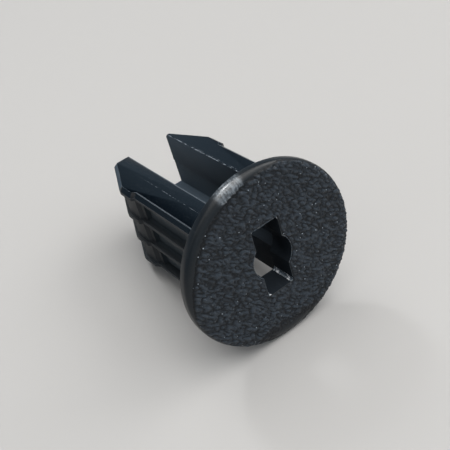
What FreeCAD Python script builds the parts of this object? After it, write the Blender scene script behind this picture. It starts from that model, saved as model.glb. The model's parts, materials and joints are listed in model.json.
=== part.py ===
import FreeCAD, Part
import math
import os

# Bumper clip: a screw grommet moulded in one piece of black plastic. A round grained head carries two
# barbed legs, and a screw driven down between them spreads them behind the panel.
# Moulding frame: z runs from the back of the head to the tips, x runs across the two legs, and y is the
# direction in which the side ribs lie over one another. The part is the same again after half a turn
# about z. At the end it is laid down as it comes to rest: on the head's back edge and on both tips.

# Head
HEAD_DIAMETER = 20.0
HEAD_THICKNESS = 1.25
HEAD_ROUND_REACH = 1.0
HEAD_ROUND_DROP = 0.6
HEAD_BACK_BEVEL = 0.1

# Screw entry
SCREW_HOLE_DIAMETER = 4.7
SLOT_WIDTH = 3.2
SLOT_LENGTH = 8.1
COLLAR_LENGTH = 1.9

# Shank
SHANK_WIDTH = 11.9
SHANK_HEIGHT = 10.3
LEG_LENGTH = 21.9
ROOT_FILLET = 0.25

# Barb and lead-in on the outside of each leg
WAIST_LENGTH = 13.7
SHOULDER_LENGTH = 0.4
BARB_HEIGHT = 0.35
CREST_LENGTH = 2.3
TIP_REACH = 3.95
CREST_ROUND = 1.2
TIP_ROUND = 0.5
EDGE_BEVEL = 0.44

# Plates and ribs on the outer sides
PLATE_THICKNESS = 0.8
RIB_THICKNESS = 0.45
RIB_COUNT = 2
POCKET_DEPTH = 0.9
POCKET_LENGTH = 13.1
LEAD_POCKET_DEPTH = 0.4

# Gap between the legs
BLOCK_HALF_GAP = 2.05
WALL_HALF_GAP = 3.35
CHANNEL_WIDTH = 3.1
CHANNEL_RELIEF = 0.1
BLOCK_TIP_ROUND = 0.4
WALL_TIP_ROUND = 0.1

# How far a cutter runs past the face that it opens, and how near two places are to count as one
OVERCUT = 1.0
NEAR = 1e-4

HEAD_RADIUS = HEAD_DIAMETER / 2
HALF_WIDTH = SHANK_WIDTH / 2
HALF_HEIGHT = SHANK_HEIGHT / 2
CREST = HALF_WIDTH + BARB_HEIGHT
SHOULDER_END = WAIST_LENGTH + SHOULDER_LENGTH
CREST_END = SHOULDER_END + CREST_LENGTH
CORE_TIP_REACH = TIP_REACH - LEAD_POCKET_DEPTH
RIB_SPACE = SHANK_HEIGHT - 2 * PLATE_THICKNESS - RIB_COUNT * RIB_THICKNESS
POCKET_WIDTH = RIB_SPACE / (RIB_COUNT + 1)
RIB_PITCH = POCKET_WIDTH + RIB_THICKNESS

ORIGIN = FreeCAD.Vector(0, 0, 0)
ACROSS = FreeCAD.Vector(1, 0, 0)
UPWARD = FreeCAD.Vector(0, 1, 0)
ALONG = FreeCAD.Vector(0, 0, 1)


def edges_at(solid, here):
    """The edges whose ends all pass a test on their place."""
    return [e for e in solid.Edges if all(here(v.Point) for v in e.Vertexes)]


def corner_edges(solid, x, z):
    """The edges along y that stand over one point of the plan."""
    return edges_at(solid, lambda p: abs(p.x - x) < NEAR and abs(p.z - z) < NEAR)


def sheet(points):
    """A flat face with straight sides through the given points."""
    return Part.Face(Part.makePolygon(points + points[:1]))


def prism(plan, y0, y1):
    """A closed plan of (x, z) points, carried along y from y0 to y1."""
    face = sheet([FreeCAD.Vector(x, y0, z) for x, z in plan])
    return face.extrude(FreeCAD.Vector(0, y1 - y0, 0))


def leg_outline():
    """Plan of one leg from the middle of the part out: waist, shoulder, crest, lead-in and tip."""
    return [
        (0, 0),
        (HALF_WIDTH, 0),
        (HALF_WIDTH, WAIST_LENGTH),
        (CREST, SHOULDER_END),
        (CREST, CREST_END),
        (TIP_REACH, LEG_LENGTH),
        (0, LEG_LENGTH),
    ]


def core_outline():
    """Plan of the leg between its ribs: a deep floor up to the barb, a shallow one beyond it."""
    floor = HALF_WIDTH - POCKET_DEPTH
    barb_foot = HALF_WIDTH - LEAD_POCKET_DEPTH
    barb_floor = CREST - LEAD_POCKET_DEPTH
    return [
        (0, 0),
        (floor, 0),
        (floor, POCKET_LENGTH),
        (barb_foot, POCKET_LENGTH),
        (barb_foot, WAIST_LENGTH),
        (barb_floor, SHOULDER_END),
        (barb_floor, CREST_END),
        (CORE_TIP_REACH, LEG_LENGTH),
        (0, LEG_LENGTH),
    ]


def layer(y0, y1):
    """One plate or rib of a leg, with the crest and the outer corner of the tip rounded."""
    solid = prism(leg_outline(), y0, y1)
    solid = solid.makeFillet(CREST_ROUND, corner_edges(solid, CREST, CREST_END))
    return solid.makeFillet(TIP_ROUND, corner_edges(solid, TIP_REACH, LEG_LENGTH))


def outer_plate():
    """The plate on the +y face, with its outer edge bevelled all round the barb."""
    solid = layer(HALF_HEIGHT - PLATE_THICKNESS, HALF_HEIGHT)
    rim = edges_at(solid, lambda p: abs(p.y - HALF_HEIGHT) < NEAR and p.x > NEAR)
    return solid.makeChamfer(EDGE_BEVEL, rim)


def leg():
    """One leg on the +x side, still solid to the middle of the part."""
    plate = outer_plate()
    layers = [plate, plate.mirror(ORIGIN, UPWARD)]
    for n in range(RIB_COUNT):
        y = -HALF_HEIGHT + PLATE_THICKNESS + POCKET_WIDTH + n * RIB_PITCH
        layers.append(layer(y, y + RIB_THICKNESS))
    inside = HALF_HEIGHT - PLATE_THICKNESS / 2
    return prism(core_outline(), -inside, inside).fuse(layers)


def gap_section():
    """Section of the gap: a channel for the screw, and beside it one block on each leg. A block stands
    nearer to the middle above the channel on one side, and below it on the other."""
    channel = CHANNEL_WIDTH / 2
    past = HALF_HEIGHT + OVERCUT
    half = [
        (-BLOCK_HALF_GAP, -past),
        (WALL_HALF_GAP, -past),
        (WALL_HALF_GAP, channel),
        (BLOCK_HALF_GAP, channel),
    ]
    return half + [(-x, -y) for x, y in half]


def leg_gap():
    """The cutter that parts the legs, from the collar out past the tips."""
    face = sheet([FreeCAD.Vector(x, y, COLLAR_LENGTH) for x, y in gap_section()])
    return face.extrude(FreeCAD.Vector(0, 0, LEG_LENGTH - COLLAR_LENGTH + OVERCUT))


def channel_relief():
    """The cutter that sets the walls of the screw channel back a little from the rest."""
    width = 2 * (WALL_HALF_GAP + CHANNEL_RELIEF)
    corner = FreeCAD.Vector(-width / 2, -CHANNEL_WIDTH / 2, COLLAR_LENGTH)
    return Part.makeBox(width, CHANNEL_WIDTH, LEG_LENGTH - COLLAR_LENGTH + OVERCUT, corner)


def legs():
    """Both legs with the gap between them and the inner edges of their tips rounded. Beside the wall
    the tip is thin between its ribs, so the round there takes up half of it at most."""
    right = leg()
    pair = right.fuse(right.mirror(ORIGIN, ACROSS)).cut(leg_gap()).removeSplitter()
    thin_round = min(WALL_TIP_ROUND, (CORE_TIP_REACH - WALL_HALF_GAP) / 2)
    for inner, size in ((BLOCK_HALF_GAP, BLOCK_TIP_ROUND), (WALL_HALF_GAP, thin_round)):
        tips = corner_edges(pair, inner, LEG_LENGTH) + corner_edges(pair, -inner, LEG_LENGTH)
        pair = pair.makeFillet(size, tips)
    return pair.cut(channel_relief())


def head():
    """The round head: its front edge rolls over in a quarter of an ellipse, its back edge is broken."""
    flat = HEAD_RADIUS - HEAD_ROUND_REACH
    drop = HEAD_ROUND_DROP - HEAD_THICKNESS
    hub = FreeCAD.Vector(flat, 0, drop)
    roll = Part.Ellipse(hub + ACROSS * HEAD_ROUND_REACH, hub - ALONG * HEAD_ROUND_DROP, hub)
    corners = [
        FreeCAD.Vector(HEAD_RADIUS, 0, drop),
        FreeCAD.Vector(HEAD_RADIUS, 0, -HEAD_BACK_BEVEL),
        FreeCAD.Vector(HEAD_RADIUS - HEAD_BACK_BEVEL, 0, 0),
        ORIGIN,
        FreeCAD.Vector(0, 0, -HEAD_THICKNESS),
        FreeCAD.Vector(flat, 0, -HEAD_THICKNESS),
    ]
    quarter = Part.Arc(roll, 0, math.pi / 2).toShape()
    outline = Part.Wire([*Part.makePolygon(corners).Edges, quarter])
    return Part.Face(outline).revolve(ORIGIN, ALONG, 360)


def screw_entry():
    """The round screw hole with its cross slot, through the head and the collar."""
    start = FreeCAD.Vector(0, 0, -HEAD_THICKNESS - OVERCUT)
    depth = COLLAR_LENGTH - start.z
    hole = Part.makeCylinder(SCREW_HOLE_DIAMETER / 2, depth, start)
    corner = start - FreeCAD.Vector(SLOT_WIDTH / 2, SLOT_LENGTH / 2, 0)
    return hole.fuse(Part.makeBox(SLOT_WIDTH, SLOT_LENGTH, depth, corner))


def root_edges(solid):
    """The inside corner that runs round the shank where it stands on the head."""
    return edges_at(solid, lambda p: abs(p.z) < NEAR
                    and abs(p.x) < HALF_WIDTH + NEAR and abs(p.y) < HALF_HEIGHT + NEAR)


def clip_body():
    """The whole clip in the moulding frame."""
    solid = legs().fuse(head()).removeSplitter()
    solid = solid.makeFillet(ROOT_FILLET, root_edges(solid))
    return solid.cut(screw_entry()).removeSplitter()


def lay_down(solid):
    """Rests the clip on the head's back edge and both tips, with its lowest point at zero height."""
    drop = HEAD_RADIUS - HALF_HEIGHT
    tilt = math.degrees(math.atan2(drop, LEG_LENGTH + HEAD_BACK_BEVEL))
    solid.rotate(ORIGIN, ACROSS, -90 - tilt)
    room = solid.optimalBoundingBox(False)
    solid.translate(FreeCAD.Vector(-room.Center.x, -room.Center.y, -room.ZMin))
    return solid


os.makedirs("parts", exist_ok=True)
clip = lay_down(clip_body())
clip.exportStep("parts/clip_body.step")
print("valid", clip.isValid(), "solids", len(clip.Solids), "faces", len(clip.Faces))
print("volume", round(clip.Volume, 2), "box", clip.optimalBoundingBox(False))
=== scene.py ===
import json
import math
from collections import namedtuple
import bpy
from mathutils import Matrix, Vector


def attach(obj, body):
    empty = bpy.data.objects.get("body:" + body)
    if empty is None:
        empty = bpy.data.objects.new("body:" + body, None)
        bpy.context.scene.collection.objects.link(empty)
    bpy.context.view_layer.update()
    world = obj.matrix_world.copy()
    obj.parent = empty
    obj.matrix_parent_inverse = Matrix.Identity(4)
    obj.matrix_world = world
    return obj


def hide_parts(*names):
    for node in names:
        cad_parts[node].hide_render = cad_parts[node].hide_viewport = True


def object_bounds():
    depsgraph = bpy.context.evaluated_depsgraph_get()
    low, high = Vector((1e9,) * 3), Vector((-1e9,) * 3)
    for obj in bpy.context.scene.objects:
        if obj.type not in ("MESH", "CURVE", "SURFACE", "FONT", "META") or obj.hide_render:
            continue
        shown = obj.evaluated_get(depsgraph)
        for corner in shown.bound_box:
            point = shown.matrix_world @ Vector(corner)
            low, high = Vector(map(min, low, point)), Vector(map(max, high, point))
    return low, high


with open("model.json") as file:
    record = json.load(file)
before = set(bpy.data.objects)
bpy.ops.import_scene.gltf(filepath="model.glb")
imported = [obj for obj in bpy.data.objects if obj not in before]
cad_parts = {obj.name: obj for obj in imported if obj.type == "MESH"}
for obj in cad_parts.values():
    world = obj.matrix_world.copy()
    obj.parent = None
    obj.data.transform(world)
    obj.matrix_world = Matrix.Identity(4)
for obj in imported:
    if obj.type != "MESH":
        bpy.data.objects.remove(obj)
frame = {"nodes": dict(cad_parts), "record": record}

# Bumper clip of black plastic, lying on its head's back edge and on both tips. Metres, with MM for sizes
# that are easier to read in millimetres. The clip's own frame is the moulding frame: z runs from the back
# of the head to the tips, x across the two legs and y the way the side ribs lie over one another.
MM = 0.001
cad_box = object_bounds()
CLIP = frame["nodes"]["clip_body"]
MOUNTS = {m["name"]: m for m in frame["record"]["mounts"]}

# Sizes of the moulding that the finish follows, in mm
HEAD_RADIUS = 10.0
HEAD_THICKNESS = 1.25
HEAD_ROUND_REACH = 1.0
HEAD_ROUND_DROP = 0.6
COLLAR_LENGTH = 1.9
SCREW_HOLE_RADIUS = 2.35
SLOT_HALF_WIDTH = 1.6
SLOT_HALF_LENGTH = 4.05
HALF_WIDTH = 5.95
HALF_HEIGHT = 5.15
EDGE_BEVEL = 0.44
BLOCK_HALF_GAP = 2.05
WALL_HALF_GAP = 3.35
PLATE_THICKNESS = 0.8


def clip_frame():
    """The moulding frame in the row frame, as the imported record's mounts give it."""
    back = Vector(MOUNTS["panel_seat"]["pos_m"])
    along = Vector(MOUNTS["panel_seat"]["axis"]).normalized()
    across = Vector((1, 0, 0))
    upward = along.cross(across)
    turn = Matrix((across, upward, along)).transposed().to_4x4()
    return Matrix.Translation(Vector((0, back.y, back.z))) @ turn


TO_ROW = clip_frame()
TO_CLIP = TO_ROW.inverted()


class Value:
    """A number socket that takes part in ordinary arithmetic, each step as one Math node."""

    def __init__(self, paint, socket):
        self.paint = paint
        self.socket = socket

    def __add__(self, other):
        return self.paint.math("ADD", self, other)

    __radd__ = __add__

    def __mul__(self, other):
        return self.paint.math("MULTIPLY", self, other)

    __rmul__ = __mul__

    def __sub__(self, other):
        return self.paint.math("SUBTRACT", self, other)

    def __rsub__(self, other):
        return self.paint.math("SUBTRACT", other, self)

    def __abs__(self):
        return self.paint.math("ABSOLUTE", self)


# A noise pattern: its scale per mm, its detail and roughness, how its place is stretched along x, y and z,
# and the two noise values between which it fades in. Without those it stays plain noise.
Pattern = namedtuple("Pattern", "scale detail rough stretch fade", defaults=(0.5, None, None))


class Paint:
    """One material's nodes, built by expressions. Places are in mm in the moulding frame."""

    def __init__(self, name, **constants):
        self.material = bpy.data.materials.new(name)
        self.material.use_nodes = True
        self.tree = self.material.node_tree
        self.shader = self.tree.nodes["Principled BSDF"]
        self.finish(**constants)
        place = self.node("ShaderNodeTexCoord").outputs["Object"]
        in_metres = self.node("ShaderNodeMapping", {"vector_type": "POINT"}, Vector=place,
                              Location=TO_CLIP.translation, Rotation=TO_CLIP.to_euler()).outputs[0]
        self.place = self.node("ShaderNodeVectorMath", {"operation": "SCALE"}, Vector=in_metres,
                               Scale=1 / MM).outputs[0]
        parts = self.node("ShaderNodeSeparateXYZ", Vector=self.place)
        self.x, self.y, self.z = (Value(self, parts.outputs[i]) for i in range(3))

    def node(self, kind, settings=None, **sockets):
        made = self.tree.nodes.new(kind)
        for name, setting in (settings or {}).items():
            setattr(made, name, setting)
        for name, given in sockets.items():
            self.plug(made.inputs[name.replace("_", " ")], given)
        return made

    def plug(self, socket, given):
        if isinstance(given, Value):
            given = given.socket
        if isinstance(given, bpy.types.NodeSocket):
            self.tree.links.new(given, socket)
        else:
            socket.default_value = given

    def math(self, operation, *inputs, clamp=False):
        made = self.node("ShaderNodeMath", {"operation": operation, "use_clamp": clamp})
        for socket, given in zip(made.inputs, inputs):
            self.plug(socket, given)
        return Value(self, made.outputs[0])

    def both(self, a, b):
        """The product, held between 0 and 1."""
        return self.math("MULTIPLY", a, b, clamp=True)

    def either(self, a, b):
        return self.math("MAXIMUM", a, b)

    def radius(self):
        """The distance from the screw axis."""
        return self.math("SQRT", self.x * self.x + self.y * self.y)

    def ramp(self, value, low, high, start=0.0, end=1.0):
        """value from low to high becomes start to end, smoothly and held past both ends."""
        made = self.node("ShaderNodeMapRange", {"interpolation_type": "SMOOTHSTEP", "clamp": True},
                         Value=value, From_Min=low, From_Max=high, To_Min=start, To_Max=end)
        return Value(self, made.outputs[0])

    def line(self, value, middle, half, soft):
        """1 within half of middle, and 0 from half + soft on."""
        return self.ramp(abs(value - middle), half, half + soft, 1.0, 0.0)

    def pattern(self, given):
        """The noise of a Pattern, faded in where the pattern says between which values."""
        place = self.place
        if given.stretch:
            place = self.node("ShaderNodeMapping", Vector=place, Scale=given.stretch).outputs[0]
        made = self.node("ShaderNodeTexNoise", Vector=place, Scale=given.scale, Detail=given.detail,
                         Roughness=given.rough)
        noise = Value(self, made.outputs["Fac"])
        return self.ramp(noise, *given.fade) if given.fade else noise

    def cells(self, scale):
        made = self.node("ShaderNodeTexVoronoi", Vector=self.place, Scale=scale)
        return Value(self, made.outputs["Distance"])

    def mix(self, factor, a, b):
        made = self.node("ShaderNodeMix", {"data_type": "RGBA", "clamp_factor": True})
        colours = [s for s in made.inputs if s.type == "RGBA"]
        self.plug(made.inputs[0], factor)
        self.plug(colours[0], a)
        self.plug(colours[1], b)
        return [s for s in made.outputs if s.type == "RGBA"][0]

    def bump(self, height, depth, strength):
        return self.node("ShaderNodeBump", Strength=strength, Distance=depth * MM, Height=height).outputs[0]

    def finish(self, **sockets):
        for name, given in sockets.items():
            self.plug(self.shader.inputs[name.replace("_", " ")], given)
        return self.material


PLASTIC_IOR = 1.5
TOP_BLACK = (0.0008, 0.0022, 0.0042, 1)
# The sides' black, lifted a little as painted light; painted light on the pocket floors between the ribs,
# where shade falls; painted shade on the lead-in floors past the pockets, against the reflection they catch
SIDE_BLACK_AND_PAINTED_LIGHT = (0.0095, 0.0140, 0.0185, 1)
POCKET_PAINTED_LIGHT = (0.0300, 0.0400, 0.0480, 1)
LEAD_PAINTED_SHADE = (0.0070, 0.0100, 0.0130, 1)
# The gap walls' black, lifted as painted light, and the screw entry's plain black
INNER_BLACK_PAINTED_LIGHT = (0.0600, 0.0800, 0.1020, 1)
ENTRY_BLACK = (0.0125, 0.0160, 0.0205, 1)
# The grain's valleys and tops: painted shade and painted light, chosen by height
FACE_VALLEYS_PAINTED_SHADE = (0.0048, 0.0062, 0.0082, 1)
FACE_TOPS_PAINTED_LIGHT = (0.0370, 0.0480, 0.0620, 1)
EDGE_DARK = (0.016, 0.020, 0.024, 1)
# Pale of the broken edges: from handling, and painted highlight
EDGE_PALE_WEAR_AND_HIGHLIGHT = (0.34, 0.40, 0.46, 1)
# Pale from handling, and pale for the painted highlights and glints
PALE_WEAR_AND_HIGHLIGHT = (0.38, 0.43, 0.48, 1)
# Pale of the painted highlight in the slot's inner corners
CORNER_PAINTED_HIGHLIGHT = (0.75, 0.77, 0.80, 1)
FLASH_PALE = (0.10, 0.11, 0.12, 1)

# In the materials, a band is the pair of places in mm between which a region fades in, and a stripe is its
# middle, its half width and the width over which it then fades out.
ALONG_RUN = (0.2, 0.2, 1.0)
NIBBLES = Pattern(2.4, 2.0, 0.6, ALONG_RUN, (0.47, 0.55))

FLOW = Pattern(0.55, 3.0, stretch=(1.0, 1.0, 0.3))
FINE = Pattern(7.0, 3.0, 0.6)
HAIR = Pattern(9.0, 2.0, stretch=(1.0, 1.0, 0.05))
DASHES = Pattern(1.9, 3.0, 0.75, ALONG_RUN, (0.46, 0.62))
SPECKS = Pattern(4.2, 2.0, 0.6, fade=(0.5, 0.66))
SCRATCHED = Pattern(0.9, 2.0, fade=(0.45, 0.65))
# Streaks of the painted highlight on the rim's polished place
HIGHLIGHT_STREAKS = Pattern(1.6, 3.0, 0.7, (2.0, 1.0, 1.0), (0.38, 0.62))
HAIR_SCRATCHES = (0.66, 0.72)

LEGS_BAND = (0.25, 0.4)
LEGS_REACH = (HALF_HEIGHT + 0.08, HALF_HEIGHT + 0.04)
PLATE_BAND = (HALF_HEIGHT - EDGE_BEVEL - 0.08, HALF_HEIGHT - EDGE_BEVEL)
TOP_BAND = (HALF_HEIGHT - 0.12, HALF_HEIGHT - 0.04)
RIM_RADII = (8.9, 9.1)
RIM_BAND = (-0.05, -0.15)
POLISHED_STRIPE = (-2.4, 1.0, 0.8)
POLISHED_BAND = (-8.4, -8.6)
WITNESS_STRIPE = (3.57, 0.012, 0.04)
WITNESS_RUN = (18.5, 11.0)
OUTER_STRIPE = (HALF_WIDTH - EDGE_BEVEL, 0.04, 0.05)
OUTER_RUN = (13.9, 13.5)
BLOCK_STRIPE = (BLOCK_HALF_GAP, 0.08, 0.06)
WALL_STRIPE = (WALL_HALF_GAP, 0.07, 0.05)
WALL_SIDE = (-1.0, -2.0)
POCKET_BAND = (HALF_HEIGHT - PLATE_THICKNESS, HALF_HEIGHT - PLATE_THICKNESS - 0.05)
POCKET_FLOOR = (HALF_WIDTH - 0.25, HALF_WIDTH - 0.75)
BEYOND_POCKET = (13.12, 13.25)

RIM_SLEEK, SPOT_SLEEK = 0.50, 0.14
# Strengths of the pale lines on the tops: painted highlight on the witness line, and pale from handling with
# painted highlight along the edges; then scratches and specks
WITNESS_HIGHLIGHT, OUTER_WEAR_AND_HIGHLIGHT, BLOCK_WEAR_AND_HIGHLIGHT, WALL_WEAR_AND_HIGHLIGHT = 0.30, 0.17, 0.24, 0.5
SCRATCH_WEAR, SPECK_WEAR = 0.05, 0.006
# Painted highlight on the rim's polished place, and the share its streaks add
SPOT_PAINTED_HIGHLIGHT, STREAK_PAINTED_HIGHLIGHT = 0.10, 0.36
LEAST_RUB_AND_HIGHLIGHT, FLOW_RUB_AND_HIGHLIGHT = 0.6, 0.8
DULL, SLEEK_GAIN, FLOW_ROUGH, FINE_ROUGH = 0.56, 0.48, 0.06, 0.04
FINE_RELIEF, HAIR_RELIEF = 0.6, 0.4


def smooth_black():
    """The legs and the head's rim: moulded black, sleek on the plates and the rim, dull elsewhere, with
    painted light on the sides and the pocket floors and painted shade on the lead-in floors. The top plates'
    edges are pale, partly from handling and partly painted highlight, and one place on the rim has pale
    streaks as a painted highlight over a glossy coat."""
    p = Paint("smooth_black_plastic", IOR=PLASTIC_IOR, Specular_IOR_Level=0.4, Coat_Roughness=0.2)
    flow, fine, hair = p.pattern(FLOW), p.pattern(FINE), p.pattern(HAIR)

    on_legs = p.both(p.ramp(p.z, *LEGS_BAND), p.ramp(abs(p.y), *LEGS_REACH))
    on_plate = p.both(p.ramp(abs(p.y), *PLATE_BAND), on_legs)
    on_top = p.both(p.ramp(abs(p.y), *TOP_BAND), on_legs)
    on_rim = p.both(p.ramp(p.radius(), *RIM_RADII), p.ramp(p.z, *RIM_BAND))
    polished = p.both(p.line(p.x, *POLISHED_STRIPE), p.ramp(p.y, *POLISHED_BAND))
    spot = p.both(on_rim, polished)
    sleek = p.either(on_plate, on_rim * (RIM_SLEEK + polished * SPOT_SLEEK))

    # Painted highlight in dashes along the witness line on the top plates
    witness = p.both(p.line(abs(p.x), *WITNESS_STRIPE), on_top)
    witness = p.both(p.both(witness, p.ramp(p.z, *WITNESS_RUN)), p.pattern(DASHES))
    scratches = p.both(p.ramp(hair, *HAIR_SCRATCHES), p.pattern(SCRATCHED))
    # Pale along the top plates' edges: partly from handling, partly painted highlight
    along_outer = p.line(abs(p.x), *OUTER_STRIPE) * p.ramp(p.z, *OUTER_RUN)
    along_block = p.line(abs(p.x), *BLOCK_STRIPE)
    along_wall = p.line(abs(p.x), *WALL_STRIPE) * p.pattern(NIBBLES) * p.ramp(p.x * p.y, *WALL_SIDE)
    rubbed_and_highlit = p.either(along_block * BLOCK_WEAR_AND_HIGHLIGHT, along_wall * WALL_WEAR_AND_HIGHLIGHT)
    rubbed_and_highlit = p.either(along_outer * OUTER_WEAR_AND_HIGHLIGHT, rubbed_and_highlit)
    rubbed_and_highlit = p.both(rubbed_and_highlit * (LEAST_RUB_AND_HIGHLIGHT + flow * FLOW_RUB_AND_HIGHLIGHT), on_top)
    marks = p.either(p.both(witness, WITNESS_HIGHLIGHT), rubbed_and_highlit)
    marks = p.either(marks, p.both(scratches, SCRATCH_WEAR))
    # Painted highlight: pale streaks on the rim's polished place, which also takes a glossy coat
    marks = p.either(marks, spot * (SPOT_PAINTED_HIGHLIGHT + p.pattern(HIGHLIGHT_STREAKS) * STREAK_PAINTED_HIGHLIGHT))
    marks = p.either(marks, p.both(p.pattern(SPECKS), SPECK_WEAR))

    # Painted light on the pocket floors, and painted shade on the lead-in floors past them
    in_pocket = p.ramp(abs(p.y), *POCKET_BAND)
    beyond = p.ramp(p.z, *BEYOND_POCKET)
    deep = p.both(in_pocket, p.ramp(abs(p.x), *POCKET_FLOOR)) * (1 - beyond)
    side = p.mix(deep, p.mix(p.both(in_pocket, beyond), SIDE_BLACK_AND_PAINTED_LIGHT, LEAD_PAINTED_SHADE), POCKET_PAINTED_LIGHT)
    colour = p.mix(marks, p.mix(sleek, side, TOP_BLACK), PALE_WEAR_AND_HIGHLIGHT)
    rough = DULL - sleek * SLEEK_GAIN + flow * FLOW_ROUGH + fine * FINE_ROUGH
    relief = p.bump(fine * FINE_RELIEF + hair * HAIR_RELIEF, depth=0.006, strength=0.6)
    return p.finish(Base_Color=colour, Roughness=rough, Normal=relief, Coat_Weight=spot)


INNER_HAIR = Pattern(7.0, 3.0, stretch=(1.0, 1.0, 0.08))
INNER_FLOW = Pattern(0.5, 2.0)
INNER_SCRATCHES = (0.60, 0.75)
INNER_WEAR = 0.02
ENTRY_TO_TIPS = (COLLAR_LENGTH, 17.0)
INNER_DULL, INNER_FLOW_ROUGH = 0.62, 0.16


def inner_black():
    """The walls of the screw entry and of the gap between the legs: dull, lifted by painted light towards the
    tips, with faint marks along them."""
    p = Paint("inner_black_plastic", IOR=PLASTIC_IOR, Specular_IOR_Level=0.03)
    hair = p.pattern(INNER_HAIR)
    # Painted light: paler from the screw entry towards the tips
    tone = p.mix(p.ramp(p.z, *ENTRY_TO_TIPS), ENTRY_BLACK, INNER_BLACK_PAINTED_LIGHT)
    colour = p.mix(p.both(p.ramp(hair, *INNER_SCRATCHES), INNER_WEAR), tone, PALE_WEAR_AND_HIGHLIGHT)
    rough = INNER_DULL + p.pattern(INNER_FLOW) * INNER_FLOW_ROUGH
    return p.finish(Base_Color=colour, Roughness=rough, Normal=p.bump(hair, depth=0.01, strength=0.6))


RUNS = Pattern(1.4, 3.0, 0.7, fade=(0.36, 0.60))
NICKS = Pattern(6.0, 2.0, 0.6, fade=(0.50, 0.66))
EDGE_SPECKS = Pattern(2.6, 2.0, 0.6, fade=(0.42, 0.54))
EDGE_LEGS_BAND = (0.1, 0.3)
EDGE_TOP_BAND = (HALF_HEIGHT - 0.10, HALF_HEIGHT - 0.06)
EDGE_OUTER_STRIPE = (HALF_WIDTH - EDGE_BEVEL, 0.10, 0.10)
EDGE_INNER_BAND = (WALL_HALF_GAP + 0.2, WALL_HALF_GAP + 0.1)
EDGE_BELOW_STRIPE = (HALF_HEIGHT - EDGE_BEVEL, 0.08, 0.06)
EDGE_BELOW_BAND = (5.4, 5.6)
OUTSIDE_BAND = (5.65, 5.8)
LEAD_BAND = (14.0, 14.5)
BARB_BAND = (13.3, 13.6)
# Strengths of the pale edge lines, partly from handling and partly painted highlight
RUN_WEAR_AND_HIGHLIGHT, NICK_WEAR_AND_HIGHLIGHT, EDGE_SPECK_WEAR_AND_HIGHLIGHT, BELOW_WEAR_AND_HIGHLIGHT = 0.16, 0.30, 0.9, 0.3
OUTER_EDGE_WEAR_AND_HIGHLIGHT, OUTER_RUN_WEAR_AND_HIGHLIGHT = 0.4, 0.3
EDGE_ROUGH, EDGE_WEAR_GAIN = 0.34, 0.06


def edges_worn_and_highlit():
    """The broken edges: pale in short runs, partly from handling and partly painted highlight, most along the
    plates' long edges.
    """
    p = Paint("edge_black_plastic_worn_and_highlit", IOR=PLASTIC_IOR, Specular_IOR_Level=0.2)
    runs = p.pattern(RUNS)
    on_legs = p.ramp(p.z, *EDGE_LEGS_BAND)
    on_top = p.ramp(abs(p.y), *EDGE_TOP_BAND)
    outer = p.both(p.line(abs(p.x), *EDGE_OUTER_STRIPE), on_top)
    inner = p.both(p.ramp(abs(p.x), *EDGE_INNER_BAND), on_top)
    below = p.line(abs(p.y), *EDGE_BELOW_STRIPE) * p.ramp(abs(p.x), *EDGE_BELOW_BAND)
    outside = p.either(p.ramp(abs(p.x), *OUTSIDE_BAND), p.either(p.ramp(p.z, *LEAD_BAND), on_top))
    specks = p.both(p.pattern(EDGE_SPECKS), p.both(on_top, p.ramp(p.z, *BARB_BAND)))

    # Pale on the edges, partly from handling and partly painted highlight
    pale_wear_and_highlight = p.either(runs * RUN_WEAR_AND_HIGHLIGHT, p.pattern(NICKS) * NICK_WEAR_AND_HIGHLIGHT)
    pale_wear_and_highlight = p.either(pale_wear_and_highlight, p.both(outer, OUTER_EDGE_WEAR_AND_HIGHLIGHT + runs * OUTER_RUN_WEAR_AND_HIGHLIGHT))
    pale_wear_and_highlight = p.either(pale_wear_and_highlight, p.either(specks * EDGE_SPECK_WEAR_AND_HIGHLIGHT, below * BELOW_WEAR_AND_HIGHLIGHT))
    pale_wear_and_highlight = p.either(pale_wear_and_highlight, p.both(inner, p.pattern(NIBBLES)))
    pale_wear_and_highlight = p.both(p.both(pale_wear_and_highlight, outside), on_legs)
    return p.finish(Base_Color=p.mix(pale_wear_and_highlight, EDGE_DARK, EDGE_PALE_WEAR_AND_HIGHLIGHT), Roughness=EDGE_ROUGH - pale_wear_and_highlight * EDGE_WEAR_GAIN)


SHREDS_AND_HIGHLIGHT_BREAKUP = Pattern(2.2, 3.0, 0.7)
# Breakup of the painted highlight in the slot corners
CORNER_HIGHLIGHT_BREAKUP = SHREDS_AND_HIGHLIGHT_BREAKUP._replace(fade=(0.50, 0.58))
FLASH_SHREDS = SHREDS_AND_HIGHLIGHT_BREAKUP._replace(fade=(0.42, 0.60))
SHRED_ROUGH, SHRED_GAIN = 0.45, 0.2


def torn_flash_and_painted_highlight(name, pale, pattern):
    """Pale torn bits on dark plastic: flash torn where the screw entry was cored out, and a painted highlight
    in the slot's inner corners.
    """
    p = Paint(name, IOR=PLASTIC_IOR)
    shreds_and_highlight = p.pattern(pattern)
    return p.finish(Base_Color=p.mix(shreds_and_highlight, INNER_BLACK_PAINTED_LIGHT, pale), Roughness=SHRED_ROUGH - shreds_and_highlight * SHRED_GAIN,
                    Normal=p.bump(shreds_and_highlight, depth=0.03, strength=0.8))


GRAIN_FINE = Pattern(9.0, 3.0, 0.6)
GRAIN_BROAD = Pattern(0.35, 2.0)
# Painted glints: small pale points over the grain
GLINT_SCALE = 1.4
GLINT_BAND = (0.10, 0.05)
ROLL_END = 0.99
TOPS_START, TOPS_SHARE = 0.01, 0.75
GRAIN_ROUGH, TOPS_GAIN, GRAIN_FINE_ROUGH, GRAIN_BROAD_ROUGH = 0.38, 0.10, 0.06, 0.05


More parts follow.
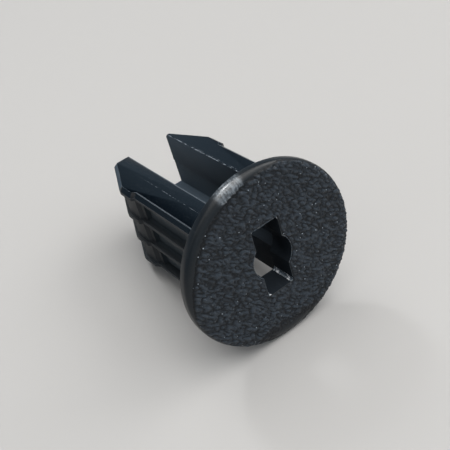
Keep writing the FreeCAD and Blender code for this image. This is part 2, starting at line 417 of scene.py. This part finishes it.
def grained_black():
    """The front of the head: coarse leather grain with painted shade in its valleys and painted light on its
    tops, which are also shinier, and a few small painted glints."""
    p = Paint("grained_black_plastic", IOR=PLASTIC_IOR, Specular_IOR_Level=0.25)
    over = p.math("MAXIMUM", p.radius() - (HEAD_RADIUS - HEAD_ROUND_REACH), 0.0)
    over = p.math("MINIMUM", over, ROLL_END)
    drop = HEAD_ROUND_DROP * (1 - p.math("SQRT", 1 - over * over))
    # By height over the face: painted shade in the valleys, painted light on the tops
    height = p.ramp(drop - HEAD_THICKNESS - p.z, TOPS_START, GRAIN_DEPTH * TOPS_SHARE)
    fine = p.pattern(GRAIN_FINE)
    # Painted glints scattered over the grain
    painted_glints = p.ramp(p.cells(GLINT_SCALE), *GLINT_BAND)
    colour = p.mix(painted_glints, p.mix(height, FACE_VALLEYS_PAINTED_SHADE, FACE_TOPS_PAINTED_LIGHT), PALE_WEAR_AND_HIGHLIGHT)
    rough = GRAIN_ROUGH - height * TOPS_GAIN + fine * GRAIN_FINE_ROUGH
    rough = rough + p.pattern(GRAIN_BROAD) * GRAIN_BROAD_ROUGH
    return p.finish(Base_Color=colour, Roughness=rough, Normal=p.bump(fine, depth=0.04, strength=0.8))


def plain(name, colour, roughness):
    """A plain stage colour."""
    made = bpy.data.materials.new(name)
    made.use_nodes = True
    shader = made.node_tree.nodes["Principled BSDF"]
    shader.inputs["Base Color"].default_value = colour
    shader.inputs["Roughness"].default_value = roughness
    return made


def deselect():
    if bpy.context.object and bpy.context.object.mode != "OBJECT":
        bpy.ops.object.mode_set(mode="OBJECT")
    bpy.ops.object.select_all(action="DESELECT")


def start_edit(kind, chosen="DESELECT"):
    """Edit mode on the active piece, in the given select mode, with nothing or everything selected."""
    bpy.ops.object.mode_set(mode="EDIT")
    bpy.ops.mesh.select_mode(type=kind)
    bpy.ops.mesh.select_all(action=chosen)


def activate(piece):
    deselect()
    piece.select_set(True)
    bpy.context.view_layer.objects.active = piece


def apply_modifier(piece, kind, **settings):
    activate(piece)
    made = piece.modifiers.new(kind.title(), kind)
    for name, setting in settings.items():
        setattr(made, name, setting)
    bpy.ops.object.modifier_apply(modifier=made.name)


def shade(piece, angle):
    """Smooth shading, with edges past the angle kept sharp."""
    activate(piece)
    bpy.ops.object.shade_smooth_by_angle(angle=angle)


def paint(piece, *materials):
    piece.data.materials.clear()
    for material in materials:
        piece.data.materials.append(material)


def settle(piece):
    """The finishing steps that every new piece shares: place into the mesh and body."""
    activate(piece)
    bpy.ops.object.transform_apply(location=True, rotation=True, scale=True)
    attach(piece, "root")


EDGE_SOFTNESS = 0.05
WELD = 0.002
FLAT_ANGLE = math.radians(0.5)
SHARP_ANGLE = math.radians(28)
BODY_SMOOTH = math.radians(32)
GRAIN_SMOOTH = math.radians(60)
DETAIL_SMOOTH = math.radians(40)
EDGE_SLOT = 1
INNER_SLOT = 2
NEAR_WALL = 0.15
NEAR_FACE = 0.05
TIP_BEVEL_START = 16.5


def is_inner(centre):
    """Whether a face whose centre is given in mm is a wall of the screw entry, of the gap or a tip's bevel."""
    under_top = abs(centre.y) < HALF_HEIGHT - NEAR_FACE
    between = abs(centre.x) < WALL_HALF_GAP + NEAR_WALL and centre.z > -HEAD_THICKNESS + NEAR_FACE
    bevelled = centre.z > TIP_BEVEL_START and abs(centre.y) > HALF_HEIGHT - EDGE_BEVEL
    return under_top and (between or bevelled)


def moulded_body():
    """The clip with every edge just broken, as a mould leaves it: a merged copy of the solid. Its materials
    are the outside, the broken edges and the inner walls."""
    piece = bpy.data.objects.new("clip_moulding", CLIP.data.copy())
    bpy.context.scene.collection.objects.link(piece)
    activate(piece)
    start_edit("VERT", "SELECT")
    bpy.ops.mesh.remove_doubles(threshold=WELD * MM)
    bpy.ops.mesh.customdata_custom_splitnormals_clear()
    bpy.ops.mesh.dissolve_limited(angle_limit=FLAT_ANGLE)
    bpy.ops.object.mode_set(mode="OBJECT")
    paint(piece, smooth_black(), edges_worn_and_highlit(), inner_black())
    for face in piece.data.polygons:
        face.material_index = INNER_SLOT if is_inner(TO_CLIP @ face.center / MM) else 0
    apply_modifier(piece, "BEVEL", width=EDGE_SOFTNESS * MM, segments=2, limit_method="ANGLE",
                   angle_limit=SHARP_ANGLE, use_clamp_overlap=True, material=EDGE_SLOT)
    shade(piece, BODY_SMOOTH)
    settle(piece)
    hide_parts("clip_body")


# The head's grain, in mm: the sheet lies SKIN_SINK inside the face and is lifted clear of it by SKIN_LIFT
GRAIN_DEPTH = 0.22
GRAIN_PEAK = 0.30
GRAIN_CELL = 0.063
GRAIN_SIZE = 0.46
GRAIN_STRETCH = 2.2
GRAIN_LEAN = math.radians(43)
PEBBLE_SHARE = 0.45
PEBBLE_INTENSITY = 2.6
WAVE_SHARE = 0.9
WAVE_SIZE = 0.64
EDGE_FADE = 0.16
GRAIN_REACH = 9.98
RIM_FADE = 0.16
SKIN_SINK = 0.03
SKIN_LIFT = 0.004
SKIN_BACK = 0.64

# The stretch of the rim that stays plain: where it is, how far out the grain reaches there, over what
# width it fades, and the cosines between which the stretch begins
PLAIN_BEARING = math.radians(130)
PLAIN_REACH = 9.3
PLAIN_FADE = 0.6
PLAIN_COSINES = (0.5, 0.9)


def plain_share(bearing):
    """The grain runs out over the rolled edge, but fades out short of it along one stretch: 1 there."""
    start, full = PLAIN_COSINES
    return min(max((math.cos(bearing - PLAIN_BEARING) - start) / (full - start), 0), 1)


def inside_grain(x, y):
    """How far inside the grained face a point lies, as a share of the fade at the edge that is nearest."""
    plain = plain_share(math.atan2(y, x))
    reach = GRAIN_REACH + (PLAIN_REACH - GRAIN_REACH) * plain
    from_rim = (reach - math.hypot(x, y)) / (RIM_FADE + (PLAIN_FADE - RIM_FADE) * plain)
    from_bore = (math.hypot(x, y) - SCREW_HOLE_RADIUS) / EDGE_FADE
    dx, dy = abs(x) - SLOT_HALF_WIDTH, abs(y) - SLOT_HALF_LENGTH
    from_slot = (math.hypot(max(dx, 0), max(dy, 0)) + min(max(dx, dy), 0)) / EDGE_FADE
    return min(from_rim, from_bore, from_slot)


def roll_drop(x, y):
    """How far the head's rolled edge falls away behind the flat of the face."""
    over = min(max(math.hypot(x, y) - HEAD_RADIUS + HEAD_ROUND_REACH, 0) / HEAD_ROUND_REACH, 1)
    return HEAD_ROUND_DROP * (1 - math.sqrt(1 - over * over))


def relief_texture(name, kind, size, **settings):
    made = bpy.data.textures.new(name, kind)
    made.noise_scale = size
    for setting, number in settings.items():
        setattr(made, setting, number)
    return made


def raise_grain(piece):
    """Lifts the sheet just clear of the face and then raises pebbles that run together in short ridges.
    The sheet is squeezed along the lean of the grain first, so that the pebbles come out long."""
    lean = Matrix.Diagonal((1 / GRAIN_STRETCH, 1, 1, 1)) @ Matrix.Rotation(GRAIN_LEAN, 4, "Z")
    piece.data.transform(lean)
    pebbles = relief_texture("pebbles", "VORONOI", GRAIN_SIZE, weight_1=-1.0, weight_2=1.0,
                             noise_intensity=PEBBLE_INTENSITY)
    waves = relief_texture("waves", "CLOUDS", GRAIN_SIZE * WAVE_SIZE, noise_depth=1, noise_type="HARD_NOISE")
    common = {"direction": "Z", "vertex_group": "raised", "texture_coords": "LOCAL", "mid_level": 0.0}
    apply_modifier(piece, "DISPLACE", strength=SKIN_SINK + SKIN_LIFT, **common)
    apply_modifier(piece, "DISPLACE", texture=pebbles, strength=GRAIN_DEPTH * PEBBLE_SHARE, **common)
    apply_modifier(piece, "DISPLACE", texture=waves, strength=GRAIN_DEPTH * WAVE_SHARE, **common)
    piece.data.transform(lean.inverted())


def close_sheet(piece):
    """Closes the sheet behind: walls go back from its outline to one depth, and a flat face joins them."""
    start_edit("EDGE")
    bpy.ops.mesh.select_non_manifold()
    bpy.ops.mesh.extrude_region_move(TRANSFORM_OT_translate={"value": (0, 0, -SKIN_BACK)})
    bpy.ops.object.mode_set(mode="OBJECT")
    for vertex in piece.data.vertices:
        if vertex.select:
            vertex.co.z = -SKIN_BACK
    bpy.ops.object.mode_set(mode="EDIT")
    bpy.ops.mesh.fill()
    bpy.ops.mesh.select_all(action="SELECT")
    bpy.ops.mesh.normals_make_consistent(inside=False)
    bpy.ops.object.mode_set(mode="OBJECT")


def grained_skin():
    """The head's grained front: a fine sheet in relief over the face and its rolled edge, closed behind."""
    across = 2 * GRAIN_REACH
    cuts = round(across / GRAIN_CELL)
    deselect()
    bpy.ops.mesh.primitive_grid_add(x_subdivisions=cuts, y_subdivisions=cuts, size=across)
    piece = bpy.context.object
    piece.name = "head_grain"
    face_down = Matrix.Translation((0, 0, -HEAD_THICKNESS + SKIN_SINK)) @ Matrix.Rotation(math.pi, 4, "X")
    on_head = TO_ROW @ Matrix.Scale(MM, 4) @ face_down
    raised = piece.vertex_groups.new(name="raised")
    depth = []
    for vertex in piece.data.vertices:
        vertex.co.z = -roll_drop(vertex.co.x, vertex.co.y)
        depth.append(inside_grain(vertex.co.x, vertex.co.y))
        room = ((on_head @ vertex.co).y - cad_box[0][1]) / MM - SKIN_SINK
        raised.add([vertex.index], max(min(depth[-1], room / GRAIN_PEAK, 1.0), 0.0), "REPLACE")
    start_edit("FACE")
    bpy.ops.object.mode_set(mode="OBJECT")
    for face in piece.data.polygons:
        face.select = any(depth[i] < 0 for i in face.vertices)
    bpy.ops.object.mode_set(mode="EDIT")
    bpy.ops.mesh.delete(type="FACE")
    bpy.ops.object.mode_set(mode="OBJECT")
    raise_grain(piece)
    close_sheet(piece)
    piece.data.transform(on_head)
    shade(piece, GRAIN_SMOOTH)
    paint(piece, grained_black())
    settle(piece)


CORNER_RADIUS = 0.32
CORNER_INSET = 0.04
CORNER_SIDES = 64
CUTTER_OVERLENGTH = 1.2
FLASH_RADIUS = 0.05
FLASH_RAGGED = 0.10
FLASH_MIDDLE = 0.62
FLASH_SIZE = 0.22
FLASH_SIDES = 8
FLASH_STEPS = 220
FLASH_BAR_STEPS = 40


def corner_bar(side, end):
    """One concave inner corner of the screw slot, as the mould's rounded core leaves it."""
    length = HEAD_THICKNESS + COLLAR_LENGTH - 2 * CORNER_INSET
    middle = Vector((0, 0, (COLLAR_LENGTH - HEAD_THICKNESS) / 2))
    corner = Vector((side * SLOT_HALF_WIDTH, end * SLOT_HALF_LENGTH, 0)) + middle
    inner = Vector((-side, -end, 0)) * CORNER_RADIUS
    deselect()
    bpy.ops.mesh.primitive_cube_add(size=1, location=corner + inner / 2,
                                    scale=(CORNER_RADIUS, CORNER_RADIUS, length))
    bar = bpy.context.object
    bpy.ops.object.transform_apply(location=True, rotation=True, scale=True)
    deselect()
    bpy.ops.mesh.primitive_cylinder_add(radius=CORNER_RADIUS, depth=length * CUTTER_OVERLENGTH,
                                        vertices=CORNER_SIDES, location=corner + inner)
    cutter = bpy.context.object
    apply_modifier(bar, "BOOLEAN", operation="DIFFERENCE", solver="EXACT", object=cutter)
    bpy.data.objects.remove(cutter)
    return bar


def flash_arc(side):
    """A bead of flash along the bore's front edge, on one side of the slot."""
    deselect()
    bpy.ops.mesh.primitive_torus_add(major_radius=SCREW_HOLE_RADIUS + FLASH_RADIUS / 2,
                                     major_segments=FLASH_STEPS, minor_radius=FLASH_RADIUS,
                                     minor_segments=FLASH_SIDES, location=(0, 0, -HEAD_THICKNESS))
    bead = bpy.context.object
    bpy.ops.object.transform_apply(location=True, rotation=True, scale=True)
    start_edit("VERT", "SELECT")
    bpy.ops.mesh.bisect(plane_co=(side * SLOT_HALF_WIDTH, 0, 0), plane_no=(-side, 0, 0), use_fill=True,
                        clear_outer=True)
    bpy.ops.object.mode_set(mode="OBJECT")
    return bead


def flash_bar(end):
    """The same bead along one short end of the slot, cut into steps that the relief can move."""
    deselect()
    bpy.ops.mesh.primitive_cylinder_add(radius=FLASH_RADIUS, depth=2 * SLOT_HALF_WIDTH, vertices=FLASH_SIDES,
                                        location=(0, end * SLOT_HALF_LENGTH, -HEAD_THICKNESS),
                                        rotation=(0, math.pi / 2, 0))
    bead = bpy.context.object
    bpy.ops.object.transform_apply(location=True, rotation=True, scale=True)
    start_edit("EDGE")
    for step in range(1, FLASH_BAR_STEPS):
        place = SLOT_HALF_WIDTH * (2 * step / FLASH_BAR_STEPS - 1)
        bpy.ops.mesh.select_all(action="SELECT")
        bpy.ops.mesh.bisect(plane_co=(place, 0, 0), plane_no=(1, 0, 0))
    bpy.ops.object.mode_set(mode="OBJECT")
    return bead


def joined(name, solids, material):
    """Several small solids as one piece in the moulding's place."""
    deselect()
    for solid in solids:
        solid.select_set(True)
    piece = solids[0]
    bpy.context.view_layer.objects.active = piece
    bpy.ops.object.join()
    piece.name = name
    piece.data.transform(TO_ROW @ Matrix.Scale(MM, 4))
    shade(piece, DETAIL_SMOOTH)
    paint(piece, material)
    settle(piece)


def screw_entry():
    """What coring the screw entry leaves: rounded slot corners carrying a painted highlight, and ragged flash
    on the front edges.
    """
    joined("slot_corners", [corner_bar(side, end) for side in (-1, 1) for end in (-1, 1)],
           torn_flash_and_painted_highlight("slot_corner_painted_highlight", CORNER_PAINTED_HIGHLIGHT, CORNER_HIGHLIGHT_BREAKUP))
    beads = [flash_arc(-1), flash_arc(1), flash_bar(-1)]
    ragged = relief_texture("ragged", "CLOUDS", FLASH_SIZE, noise_depth=2)
    for bead in beads:
        apply_modifier(bead, "DISPLACE", texture=ragged, strength=FLASH_RAGGED, mid_level=FLASH_MIDDLE,
                       texture_coords="LOCAL")
    joined("entry_flash", beads, torn_flash_and_painted_highlight("thin_flash", FLASH_PALE, FLASH_SHREDS))


FLOOR_SIZE = 3.0
FLOOR_TONE = (0.455, 0.447, 0.440, 1)
FLOOR_ROUGH = 0.6


def floor():
    deselect()
    bpy.ops.mesh.primitive_plane_add(size=FLOOR_SIZE)
    ground = bpy.context.object
    ground.name = "floor"
    ground.data.materials.append(plain("pale_floor", FLOOR_TONE, FLOOR_ROUGH))


# The soft lamps in metres and watts: name, place, what it points at, size, power and colour
WARM = (1.0, 0.99, 0.97)
COOL = (0.97, 0.99, 1.0)
COOLER = (0.95, 0.98, 1.0)
CENTRE = (0, 0, 0)
LAMPS = (
    ("overhead", (0.02, 0.035, 0.25), (0.02, 0.035, 0), (0.18, 0.375), 0.44, WARM),
    ("back_window", (0.008, 0.28, 0.284), (0, 0, 0.01), (0.05, 0.08), 0.27, COOL),
    ("right", (0.27, -0.03, 0.26), CENTRE, (0.20, 0.20), 0.52, WARM),
    ("front_right", (0.17, -0.24, 0.28), CENTRE, (0.25, 0.25), 0.32, COOL),
    ("front", (-0.05, -0.36, 0.18), CENTRE, (0.40, 0.20), 0.14, COOLER),
    ("left", (-0.30, 0.02, 0.22), CENTRE, (0.25, 0.25), 0.10, COOL),
)

# The room's tones by how far up one looks, as the height of the direction from 0 level to 1 straight up
HORIZON = (0.22, (0.16, 0.225, 0.29, 1))
ROOM = (0.42, (0.005, 0.012, 0.022, 1))
ROOM_END = (0.58, (0.005, 0.012, 0.022, 1))
CEILING = (0.80, (0.66, 0.65, 0.63, 1))


def lamp(name, place, aim, size, watts, colour):
    deselect()
    bpy.ops.object.light_add(type="AREA", location=place)
    light = bpy.context.object
    light.name = name
    light.data.shape = "RECTANGLE"
    light.data.size, light.data.size_y = size
    light.data.energy = watts
    light.data.color = colour
    light.rotation_euler = (Vector(aim) - Vector(place)).to_track_quat("-Z", "Y").to_euler()


def studio():
    """Plain soft light: six soft lamps, and a dim room with a bluish horizon and a pale ceiling."""
    world = bpy.data.worlds.new("dim_room")
    world.use_nodes = True
    tree = world.node_tree
    toward = tree.nodes.new("ShaderNodeTexCoord").outputs["Generated"]
    height = tree.nodes.new("ShaderNodeSeparateXYZ")
    fade = tree.nodes.new("ShaderNodeValToRGB")
    tree.links.new(toward, height.inputs[0])
    tree.links.new(height.outputs["Z"], fade.inputs[0])
    tree.links.new(fade.outputs[0], tree.nodes["Background"].inputs["Color"])
    tones = fade.color_ramp
    tones.interpolation = "EASE"
    for stop, (position, tone) in zip(tones.elements, (HORIZON, ROOM)):
        stop.position = position
        stop.color = tone
    for position, tone in (ROOM_END, CEILING):
        tones.elements.new(position).color = tone
    bpy.context.scene.world = world
    for row in LAMPS:
        lamp(*row)


# The camera in the moulding frame: its place in mm, and which way its right and its top point
CAMERA_PLACE = (-31.785, -49.166, -58.357)
CAMERA_RIGHT = (0.78652, 0.24554, -0.56665)
CAMERA_UP = (0.49927, -0.79286, 0.34942)
CAMERA_LENS = 66.44
CAMERA_SENSOR = 36
CAMERA_NEAR = 2.0


def camera():
    right = Vector(CAMERA_RIGHT).normalized()
    back = right.cross(Vector(CAMERA_UP)).normalized()
    turn = Matrix((right, back.cross(right), back)).transposed().to_4x4()
    deselect()
    bpy.ops.object.camera_add()
    eye = bpy.context.object
    eye.matrix_world = TO_ROW @ Matrix.Translation(Vector(CAMERA_PLACE) * MM) @ turn
    eye.data.lens = CAMERA_LENS
    eye.data.sensor_width = CAMERA_SENSOR
    eye.data.clip_start = CAMERA_NEAR * MM
    bpy.context.scene.camera = eye


bpy.context.scene.view_settings.view_transform = "Standard"
moulded_body()
grained_skin()
screw_entry()
floor()
studio()
camera()
